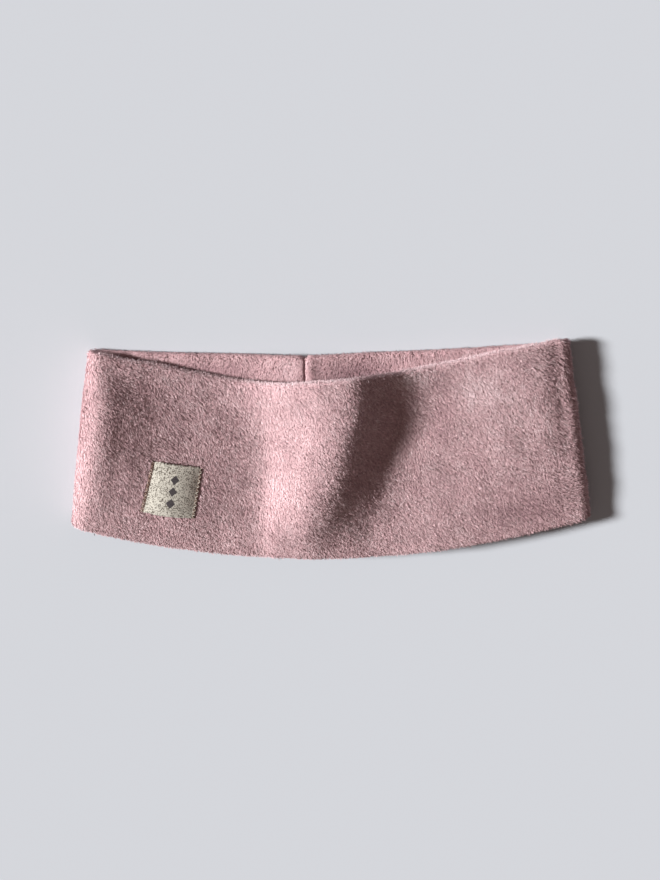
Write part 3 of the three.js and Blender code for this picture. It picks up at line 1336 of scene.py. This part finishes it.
    def build(self, patch: Patch, material: bpy.types.Material) -> bpy.types.Object:
        """Build the fibres as one piece.

        Args:
            patch: The napped face.
            material: The fibres' material.

        Returns:
            The piece.
        """
        points, normals, places = self.fibres(patch)
        total = len(points)
        blade = np.array([0, 2, 1, 1, 2, 3])
        faces = (4 * np.arange(total)[:, None] + blade[None, :]).reshape(-1)
        mesh = new_mesh(self.name, points.reshape(-1, 3), faces, np.full(2 * total, 3))
        chart = mesh.uv_layers.new(name=BAKE_MAP)
        chart.data.foreach_set("uv", places.reshape(-1, 2)[faces].astype(np.float32).ravel())
        mesh.normals_split_custom_set_from_vertices(normals.reshape(-1, 3).tolist())
        piece = new_piece(self.name, mesh, material)
        report(piece)
        return piece


@dataclass(frozen=True)
class LinenFinish:
    """Speckled linen of the tab, with a plain woven motif.

    Attributes:
        pale: Colour of the lightest yarns.
        dull: Colour of the darkest yarns.
        ink: Colour of the motif.
        margin: Tint of the sewn margins, painted shade where the cloth sinks under the stitches.
        coarse_scale: Scale of the cloth's larger blotches.
        fine_scale: Scale of its fine flecks.
        blotches: How much the blotches count in the speckle.
        flecks: How much the flecks count.
        mottle: How much the shade of single yarns counts.
        body: Colour of most yarns, as a share of the lightest.
        stops: Where the speckle turns dark, middling and pale.
        fray: How ragged the motif's edges are.
        print_share: How much of the motif's ink covers the cloth.
    """

    pale: Color = (0.60, 0.565, 0.49)
    dull: Color = (0.12, 0.10, 0.08)
    ink: Color = (0.045, 0.036, 0.042)
    margin: Color = (0.34, 0.23, 0.2)
    coarse_scale: float = 420.0
    fine_scale: float = 1900.0
    blotches: float = 0.15
    flecks: float = 0.5
    mottle: float = 0.35
    body: float = 0.72
    stops: tuple[float, float, float] = (0.36, 0.46, 0.58)
    fray: float = 0.35
    print_share: float = 0.96

    def material(
        self,
        marks: tuple[tuple[float, float], ...],
        half: tuple[float, float],
        yarns: tuple[int, int],
        sewn_at: float,
    ) -> bpy.types.Material:
        """Make the tab's material.

        Args:
            marks: Middles of the motif's lozenges, in shares of the tab.
            half: Half of a lozenge's width and height, in the same shares.
            yarns: How many yarns lie across and up the tab.
            sewn_at: Where the margins start, as a share of half the width.

        Returns:
            The material.
        """
        material, nodes, shader = new_material("tab_linen")
        place = nodes.add("ShaderNodeUVMap", uv_map="yarns")
        parts = nodes.split(place.outputs["UV"])
        object_place = nodes.add("ShaderNodeTexCoord").outputs["Object"]
        coarse = nodes.noise(object_place, self.coarse_scale, 3.0)
        fine = nodes.noise(object_place, self.fine_scale, 2.0)
        scaled = nodes.add("ShaderNodeVectorMath", operation="MULTIPLY")
        nodes.join(place.outputs["UV"], scaled.inputs[0])
        scaled.inputs[1].default_value = (*yarns, 1.0)
        cells = nodes.add("ShaderNodeVectorMath", operation="FLOOR")
        nodes.join(scaled.outputs["Vector"], cells.inputs[0])
        mottle = nodes.add("ShaderNodeTexWhiteNoise", noise_dimensions="2D")
        nodes.join(cells.outputs["Vector"], mottle.inputs["Vector"])
        speckle = nodes.math("MULTIPLY", coarse, self.blotches)
        speckle = nodes.math("MULTIPLY_ADD", fine, self.flecks, speckle)
        speckle = nodes.math("MULTIPLY_ADD", mottle.outputs["Value"], self.mottle, speckle)
        body = tuple(self.body * c for c in self.pale)
        cloth = nodes.ramp(speckle, tuple(zip(self.stops, (self.dull, body, self.pale))))
        side = nodes.math("ABSOLUTE", nodes.math("SUBTRACT", parts.outputs["X"], 0.5))
        # Painted shade on the sewn margins, where the cloth sinks under the stitches.
        margin = nodes.math("GREATER_THAN", side, sewn_at / 2)
        cloth = nodes.blend("MULTIPLY", margin, cloth, self.margin)
        ragged = nodes.math("MULTIPLY", nodes.math("SUBTRACT", fine, 0.5), self.fray)
        mask: object = 0.0
        for mark in marks:
            total: object = ragged
            for axis, middle, reach in zip("XY", mark, half):
                off = nodes.math("ABSOLUTE", nodes.math("SUBTRACT", parts.outputs[axis], middle))
                total = nodes.math("ADD", total, nodes.math("DIVIDE", off, reach))
            mask = nodes.math("MAXIMUM", mask, nodes.math("LESS_THAN", total, 1.0))
        faded = nodes.math("MULTIPLY", mask, self.print_share)
        nodes.join(nodes.blend("MIX", faded, cloth, self.ink), shader.inputs["Base Color"])
        rough = nodes.math("MULTIPLY_ADD", fine, -0.25, 0.95)
        nodes.join(rough, shader.inputs["Roughness"])
        shader.inputs["Specular IOR Level"].default_value = 0.2
        shader.inputs["Sheen Weight"].default_value = 0.15
        nodes.join(nodes.bump(fine, 0.0002, 0.35), shader.inputs["Normal"])
        return material


@dataclass(frozen=True)
class ThreadFinish:
    """Twisted sewing thread.

    Attributes:
        name: Name of the material.
        color: Its colour.
        other: The colour that it changes to along its length.
    """

    name: str
    color: Color
    other: Color

    def material(self) -> bpy.types.Material:
        """Make the thread's material, with the twist of its strands.

        Returns:
            The material.
        """
        material, nodes, shader = new_material(self.name)
        place = nodes.add("ShaderNodeTexCoord").outputs["Object"]
        change = nodes.noise(place, 700.0, 1.0)
        whole = nodes.ramp(change, ((0.47, self.color), (0.53, self.other)))
        twist = nodes.add("ShaderNodeTexWave", wave_type="BANDS", bands_direction="DIAGONAL")
        nodes.join(place, twist.inputs["Vector"])
        twist.inputs["Scale"].default_value = 900.0
        twist.inputs["Distortion"].default_value = 1.5
        shade = nodes.ramp(twist.outputs["Fac"], ((0.0, (0.5, 0.5, 0.5)), (1.0, (1.0, 1.0, 1.0))))
        nodes.join(nodes.blend("MULTIPLY", 1.0, whole, shade), shader.inputs["Base Color"])
        rough = nodes.math("MULTIPLY_ADD", twist.outputs["Fac"], -0.2, 0.85)
        nodes.join(rough, shader.inputs["Roughness"])
        nodes.join(nodes.bump(twist.outputs["Fac"], 0.0001, 1.0), shader.inputs["Normal"])
        return material


@dataclass
class WovenTab:
    """The tab of woven cloth, sewn to the front along its left and right sides.

    Attributes:
        flare: How much wider it is below than above, as a share of its width.
        puff: How far its middle stands off the front.
        seat: Height of the sewn lines over the face of the CAD's outer layer.
        from_fold: Distance of its middle from the left fold.
        above_lower_edge: Distance of its middle from the lower edge.
        yarn_height: How far a yarn stands up.
        samples: Fields on a yarn.
        yarn_split: How many spun strands a yarn shows.
        sewn_at: Inner end of the stitches, as a share of half the width.
        sewn_to: Their outer end.
        hem: Rise of the folded upper and lower edge.
        stitch_pitch: Height that a stitch takes up.
        stitch_lift: How far a stitch arches up.
        clear: Space round the tab that the nap leaves bare.
        marks: Middles of the motif's lozenges, in shares of the tab.
        mark_half: Half of a lozenge's width and height, in the same shares.
        ragged: How far the upper and lower edge are frayed, as a share of half the height.
    """

    shape: BandShape
    width: float = 0.0262
    height: float = 0.029
    flare: float = 0.09
    thickness: float = 0.0005
    puff: float = 0.002
    seat: float = -0.0005
    from_fold: float = 0.0455
    above_lower_edge: float = 0.035
    turn: float = -13.0
    yarn: float = 0.00062
    yarn_height: float = 0.00011
    samples: int = 2
    yarn_split: float = 1.4
    sewn_at: float = 0.89
    sewn_to: float = 1.01
    hem: float = 0.0002
    stitch_pitch: float = 0.0012
    stitch_width: float = 0.00036
    stitch_lift: float = 0.0001
    clear: float = 0.0005
    marks: tuple[tuple[float, float], ...] = ((0.5, 0.27), (0.5, 0.5), (0.5, 0.73))
    mark_half: tuple[float, float] = (0.085, 0.095)
    ragged: float = 0.010

    @property
    def x(self) -> float:
        """Middle of the tab along x, before the shift into the part's frame."""
        level = np.array([self.above_lower_edge / self.shape.side_height])
        return self.from_fold - float(self.shape.half_width(level)[0])

    @property
    def y(self) -> float:
        """Middle of the tab along y, before the shift into the part's frame."""
        return self.shape.lower_edge_y(self.x) + self.above_lower_edge

    def plan(self, a: Array, b: Array) -> tuple[Array, Array]:
        """Place shares across and up the tab on the plan.

        Args:
            a: Share across, from -1 to 1.
            b: Share up, from -1 to 1.

        Returns:
            Places along x and y, before the shift.
        """
        turn = math.radians(self.turn)
        right, up = a * self.width * (1 - b * self.flare / 2) / 2, b * self.height / 2
        x = self.x + right * math.cos(turn) - up * math.sin(turn)
        return x, self.y + right * math.sin(turn) + up * math.cos(turn)

    def covers(self, points: Array) -> Array:
        """Tell which points of the front lie under the tab.

        Args:
            points: One row for each point.

        Returns:
            True for each point that does.
        """
        turn = math.radians(self.turn)
        dx = points[:, 0] - self.shape.shift[0] - self.x
        dy = points[:, 1] - self.shape.shift[1] - self.y
        right = dx * math.cos(turn) + dy * math.sin(turn)
        up = -dx * math.sin(turn) + dy * math.cos(turn)
        half = self.width * (1 - up * self.flare / self.height) / 2
        inside = np.abs(right) < half + self.clear
        inside &= np.abs(up) < self.height / 2 + self.clear
        return inside & (points[:, 2] > self.shape.lowest_front / 2)

    def puffed(self, a: Array, b: Array) -> Array:
        """Height of the tab's cloth over its sewn lines.

        Args:
            a: Share across, from -1 to 1.
            b: Share up, from -1 to 1.

        Returns:
            One height for each place.
        """
        inside = np.clip(1 - np.square(a / self.sewn_at), 0, 1)
        swell = self.puff * inside * (0.62 + 0.38 * (1 - b * b))
        hem = self.hem * bell(1 - np.abs(b) - 0.035, 0.03) * (np.abs(a) < self.sewn_at)
        past = 0.0004 * smooth_step(1.0, 1.05, np.abs(a))
        return swell + hem - past

    def weave(self, a: Array, b: Array) -> Array:
        """Height of the yarns of a plain weave.

        Args:
            a: Share across, from -1 to 1.
            b: Share up, from -1 to 1.

        Returns:
            One height for each place.
        """
        s = (a + 1) / 2 * self.width / self.yarn
        t = (b + 1) / 2 * self.height / self.yarn
        upper = (np.floor(s) + np.floor(t)) % 2 == 0
        warp = np.sin(math.pi * (s % 1)) * (0.6 + 0.4 * np.sin(math.pi * (t % 1)))
        weft = np.sin(math.pi * (t % 1)) * (0.6 + 0.4 * np.sin(math.pi * (s % 1)))
        return self.yarn_height * np.where(upper, warp, weft)

    def build(self, finish: LinenFinish) -> bpy.types.Object:
        """Build the tab's cloth.

        Args:
            finish: Its finish.

        Returns:
            The piece.
        """
        columns = self.samples * int(self.width / self.yarn)
        rows = self.samples * int(self.height / self.yarn)
        a, b = np.meshgrid(np.linspace(-1, 1, columns + 1), np.linspace(-1, 1, rows + 1))
        a, b = a.ravel(), b.ravel()
        fray = SoftNoise(21, 0.0012, 0.006).at(a * self.width, np.zeros_like(a))
        x, y = self.plan(a, b + self.ragged * fray * np.abs(b) ** 20)
        rim = np.maximum(np.abs(a), np.abs(b)) ** 40
        rise = self.seat + self.puffed(a, b)
        cloth = (self.thickness + self.weave(a, b)) * (1 - 0.45 * rim)
        top = self.shape.over_front(x, y, rise + cloth)
        low = self.shape.over_front(x, y, self.seat + 0.5 * self.puffed(a, b))
        count = len(a)
        j, k = np.meshgrid(np.arange(rows), np.arange(columns), indexing="ij")
        here = (j * (columns + 1) + k).ravel()
        over = here + columns + 1
        quad = np.stack([here, here + 1, over + 1, over], axis=-1)
        wide = columns + 1
        there, back = np.arange(columns), rows * wide + np.arange(columns, 0, -1)
        up, down = columns + wide * np.arange(rows), wide * np.arange(rows, 0, -1)
        ring = np.concatenate([there, up, back, down])
        after = np.roll(ring, -1)
        side = np.stack([ring + count, after + count, after, ring], axis=-1)
        faces = np.concatenate([quad, quad[:, ::-1] + count, side])
        corners = faces.reshape(-1)
        points = np.concatenate([top, low])
        mesh = new_mesh("tab_cloth", points, corners, np.full(len(faces), 4))
        chart = mesh.uv_layers.new(name="yarns")
        places = np.tile(np.stack([(a + 1) / 2, (b + 1) / 2], axis=-1), (2, 1))
        chart.data.foreach_set("uv", places[corners].astype(np.float32).ravel())
        strands = self.yarn_split / self.yarn
        yarns = (int(strands * self.width), int(strands * self.height))
        material = finish.material(self.marks, self.mark_half, yarns, self.sewn_at)
        piece = new_piece("tab_cloth", mesh, material)
        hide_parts("woven_tab")
        report(piece)
        return piece

    def stitches(self, name: str, side: int, finish: ThreadFinish) -> bpy.types.Object:
        """Build the row of stitches along one side of the tab.

        Args:
            name: Name of the piece.
            side: -1 for the left side and 1 for the right side.
            finish: Finish of the thread.

        Returns:
            The piece.
        """
        rng = np.random.default_rng(31 + side)
        count = int((self.height - 0.0015) / self.stitch_pitch)
        segments, turns = 6, 8
        points = []
        ahead = np.linspace(-1, 1, segments + 1)
        round_ = np.linspace(0, 2 * math.pi, turns, endpoint=False)
        run, out = np.meshgrid(ahead, round_, indexing="ij")
        run, out = run.ravel(), out.ravel()
        reach = (self.sewn_to - self.sewn_at) * self.width / 2
        for i in range(count):
            middle = (i + 0.5) / count * 2 - 1 + 0.006 * rng.standard_normal()
            way = 1 if i % 2 else -1
            slant = way * math.atan2(self.stitch_pitch, reach) + 0.1 * rng.standard_normal()
            length = math.hypot(self.stitch_pitch, reach) * (1 + 0.06 * rng.standard_normal())
            radius = self.stitch_width / 2 * np.sqrt(np.clip(1 - np.abs(run) ** 2.5, 0.02, 1))
            forward = run * length / 2
            sideways = radius * np.cos(out)
            right = forward * math.cos(slant) - sideways * math.sin(slant)
            up = forward * math.sin(slant) + sideways * math.cos(slant)
            a = side * (self.sewn_at + self.sewn_to) / 2 + right * 2 / self.width
            b = middle + up * 2 / self.height
            x, y = self.plan(a, b)
            lift = radius * np.sin(out) + self.stitch_lift * (1 - run * run)
            rise = self.seat + self.thickness + self.puffed(a, b) + lift
            points.append(self.shape.over_front(x, y, rise))
        size = len(points[0])
        j, k = np.meshgrid(np.arange(segments), np.arange(turns), indexing="ij")
        here, over = j * turns + k, j * turns + (k + 1) % turns
        quad = np.stack([here, here + turns, over + turns, over], axis=-1).reshape(-1, 4)
        caps = np.stack([np.arange(turns), segments * turns + np.arange(turns)[::-1]])
        faces, sizes = [], []
        for i in range(count):
            faces += [(quad + i * size).ravel(), (caps + i * size).ravel()]
            sizes += [np.full(len(quad), 4), np.full(2, turns)]
        parts = (np.concatenate(rows) for rows in (points, faces, sizes))
        mesh = new_mesh(name, *parts)
        piece = new_piece(name, mesh, finish.material())
        report(piece)
        return piece


@dataclass(frozen=True)
class Studio:
    """Pale floor, soft light and the camera of the photograph.

    Attributes:
        tilt: Degrees by which the camera looks off straight down.
        roll: Degrees by which it is rolled.
        shift_up: How far the picture is shifted, as a share of its width.
        light_height: Degrees of the light over the floor.
        light_way: Degrees of its way round, from +X.
        light_spread: Degrees that it spreads over.
        fill: Strength of the light from all round.
        floor_half: Half of the floor's width.
    """

    tilt: float = 25.0
    roll: float = 1.0
    distance: float = 0.8
    view_width: float = 0.330
    aim: tuple[float, float, float] = (0.0, 0.003, 0.01)
    shift_up: float = 8 / 660
    light_height: float = 27.0
    light_way: float = 168.0
    light_spread: float = 10.5
    light_strength: float = 8.1
    fill: float = 0.168
    fill_color: Color = (1.0, 0.81, 0.75)
    floor_color: Color = (0.50, 0.52, 0.553)
    floor_half: float = 12.0

    def floor(self) -> None:
        """Lay the pale floor."""
        ways = np.array([[-1, -1, 0], [1, -1, 0], [1, 1, 0], [-1, 1, 0]])
        points = self.floor_half * ways
        mesh = new_mesh("floor", points, np.arange(4), np.array([4]))
        material, nodes, shader = new_material("paper")
        place = nodes.add("ShaderNodeTexCoord").outputs["Object"]
        grain = nodes.noise(place, 1200.0, 2.0)
        dull = tuple(0.99 * c for c in self.floor_color)
        nodes.join(nodes.blend("MIX", grain, dull, self.floor_color), shader.inputs["Base Color"])
        shader.inputs["Roughness"].default_value = 1.0
        shader.inputs["Specular IOR Level"].default_value = 0.0
        mesh.materials.append(material)
        floor = bpy.data.objects.new("floor", mesh)
        bpy.context.scene.collection.objects.link(floor)

    def lights(self) -> None:
        """Hang the soft light on the left and set the faint light all round."""
        key = bpy.data.lights.new("key", "SUN")
        key.angle = math.radians(self.light_spread)
        key.energy = self.light_strength
        lamp = bpy.data.objects.new("key", key)
        bpy.context.scene.collection.objects.link(lamp)
        rise, way = math.radians(self.light_height), math.radians(self.light_way)
        flat = math.cos(rise)
        out = Vector((flat * math.cos(way), flat * math.sin(way), math.sin(rise)))
        lamp.location = out
        lamp.rotation_euler = out.to_track_quat("Z", "Y").to_euler()
        world = bpy.data.worlds.new("world")
        world.use_nodes = True
        sky = world.node_tree.nodes["Background"]
        sky.inputs["Color"].default_value = (*self.fill_color, 1.0)
        sky.inputs["Strength"].default_value = self.fill
        bpy.context.scene.world = world

    def camera(self) -> None:
        """Set up the camera at the photograph's angle."""
        lens = bpy.data.cameras.new("camera")
        lens.sensor_fit = "HORIZONTAL"
        lens.sensor_width = 36.0
        lens.lens = 36.0 * self.distance / self.view_width
        lens.shift_y = self.shift_up
        camera = bpy.data.objects.new("camera", lens)
        bpy.context.scene.collection.objects.link(camera)
        tilt = math.radians(self.tilt)
        off = Vector((0, math.sin(tilt), math.cos(tilt)))
        camera.location = Vector(self.aim) + self.distance * off
        turn = Matrix.Rotation(-tilt, 3, "X") @ Matrix.Rotation(-math.radians(self.roll), 3, "Z")
        camera.rotation_euler = turn.to_euler()
        bpy.context.scene.camera = camera

    def build(self) -> None:
        """Build the whole studio and keep colours as they are."""
        self.floor()
        self.lights()
        self.camera()
        bpy.context.scene.view_settings.view_transform = "Standard"


@dataclass
class Headband:
    """The whole band: cloth, nap, tab and stitches.

    Attributes:
        left_thread: Thread on the tab's left side.
        right_thread: Thread on its right side.
        flat: Length and height of a layer laid out flat; not used.
        front_turn: Degrees round the bend from which a field counts as front.
        cut_x: Place where the front's outer stretches of nap start, to either side.
        fold_from: Place across where the nap of the right fold starts.
        lip_from: Share of the height where the front's rim of nap with a painted highlight
            starts.
        back_rim: Share of the height that the back's edges take up.
        strip_from: Share of the height from which the lining shows.
        lining_rim: Shares of the height that the lining's edges lie below and above.
    """

    shape: BandShape = field(default_factory=BandShape)
    outer_finish: FleeceFinish = FleeceFinish("outer_fleece")
    lining_finish: FleeceFinish = FleeceFinish("lining_fleece")
    left_thread: ThreadFinish = ThreadFinish(
        "thread_rose", (0.15, 0.07, 0.06), (0.78, 0.63, 0.56)
    )
    right_thread: ThreadFinish = ThreadFinish(
        "thread_sand", (0.82, 0.76, 0.66), (0.60, 0.5, 0.42)
    )
    flat: tuple[float, float] = (0.515, 0.100)
    front_turn: float = -75.0
    cut_x: float = 0.068
    fold_from: float = 0.945
    lip_from: float = 0.985
    back_rim: float = 0.03
    strip_from: float = 0.74
    lining_rim: tuple[float, float] = (0.05, 0.94)

    def seat(self) -> None:
        """Shift the shape so that it lies where the CAD band lies."""
        outer = ClothLayer(self.shape, Layer.OUTER, "probe", "outer_layer", "outer_fleece")
        points, *_ = outer.grid()
        lowest, highest = (np.array(corner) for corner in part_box("outer_layer"))
        flat = points.reshape(-1, 3)
        self.shape.shift = (lowest + highest) / 2 - (flat.min(axis=0) + flat.max(axis=0)) / 2
        self.shape.shift[2] = 0.0

    def build(self) -> None:
        """Build every piece."""
        self.seat()
        fade, streaks = root_shade_group(), streak_group()
        outer = ClothLayer(self.shape, Layer.OUTER, "outer_knit", "outer_layer", "outer_fleece")
        lining = ClothLayer(self.shape, Layer.LINING, "lining_knit", "lining", "lining_fleece")
        tab = WovenTab(self.shape)
        outer_piece = outer.build(self.outer_finish, streaks)
        lining_piece = lining.build(self.lining_finish, streaks)
        tab_piece = tab.build(LinenFinish())
        threads = [
            tab.stitches("stitches_left", -1, self.left_thread),
            tab.stitches("stitches_right", 1, self.right_thread),
        ]
        outer_nap = self.outer_nap(outer, tab, self.outer_finish.nap_material(fade))
        lining_nap = self.lining_nap(lining, self.lining_finish.nap_material(fade))

    def outer_nap(
        self, outer: ClothLayer, tab: WovenTab, material: bpy.types.Material
    ) -> list[bpy.types.Object]:
        """Grow the nap of the outer layer, stretch by stretch.

        Args:
            outer: The outer layer.
            tab: The tab, which keeps the cloth below it bare.
            material: The fibres' material.

        Returns:
            The pieces.
        """
        patch = outer.napped_patch()
        x = patch.middles[:, 0]
        front = patch.turn > self.front_turn
        inside = (patch.v > self.back_rim) & (patch.v < 1 - self.back_rim)
        fold = front & (patch.across > self.fold_from)
        lip = (patch.turn == FRONT) & (patch.v > self.lip_from)
        far_left, far_right = x < -self.cut_x, x >= self.cut_x
        stretches = (
            ("nap_front_far_left", front & far_left, FRONT_NAP, 101),
            ("nap_front_left", front & ~far_left & (x < 0.0), FRONT_NAP, 102),
            ("nap_front_right", front & ~far_right & (x >= 0.0), FRONT_NAP, 103),
            ("nap_front_far_right", front & far_right & ~fold, FRONT_NAP, 104),
            ("nap_right_fold", fold, FOLD_NAP, 110),
            # Light rim along the front's upper edge: painted highlight.
            ("nap_front_lip_highlight", lip, LIP_HIGHLIGHT_NAP, 111),
            ("nap_back", ~front & inside, BACK_NAP, 105),
            ("nap_back_edges", ~front & ~inside, BACK_EDGE_NAP, 109),
        )
        pieces = []
        for name, keep, style, seed in stretches:
            marks = NAP_TONE_AND_PAINTED_LIGHT if style is FRONT_NAP else ()
            nap = Nap(name, "outer_fleece", style, seed, bare=tab.covers, marks=marks)
            pieces.append(nap.build(patch.only(keep), material))
        return pieces

    def lining_nap(
        self, lining: ClothLayer, material: bpy.types.Material
    ) -> list[bpy.types.Object]:
        """Grow the nap of the lining: close where it shows, thin deep inside the band.

        Args:
            lining: The lining.
            material: The fibres' material.

        Returns:
            The pieces.
        """
        patch = lining.napped_patch()
        below, above = self.lining_rim
        strip = (patch.turn < 0) & (patch.v > self.strip_from)
        edge = ~strip & ((patch.v > above) | (patch.v < below))
        stretches = (
            ("nap_lining_strip", strip, STRIP_NAP, 106),
            ("nap_lining_edges", edge, LINING_EDGE_NAP, 107),
            ("nap_lining_deep", ~strip & ~edge, DEEP_NAP, 108),
        )
        pieces = []
        for name, keep, style, seed in stretches:
            nap = Nap(name, "lining_fleece", style, seed, marks=LINING_PAINTED_LIGHT)
            pieces.append(nap.build(patch.only(keep), material))
        return pieces


def main() -> None:
    """Build the studio and the headband."""
    logging.basicConfig(level=logging.INFO, format="%(name)s: %(message)s")
    Studio().build()
    Headband().build()


if __name__ == "__main__":
    main()
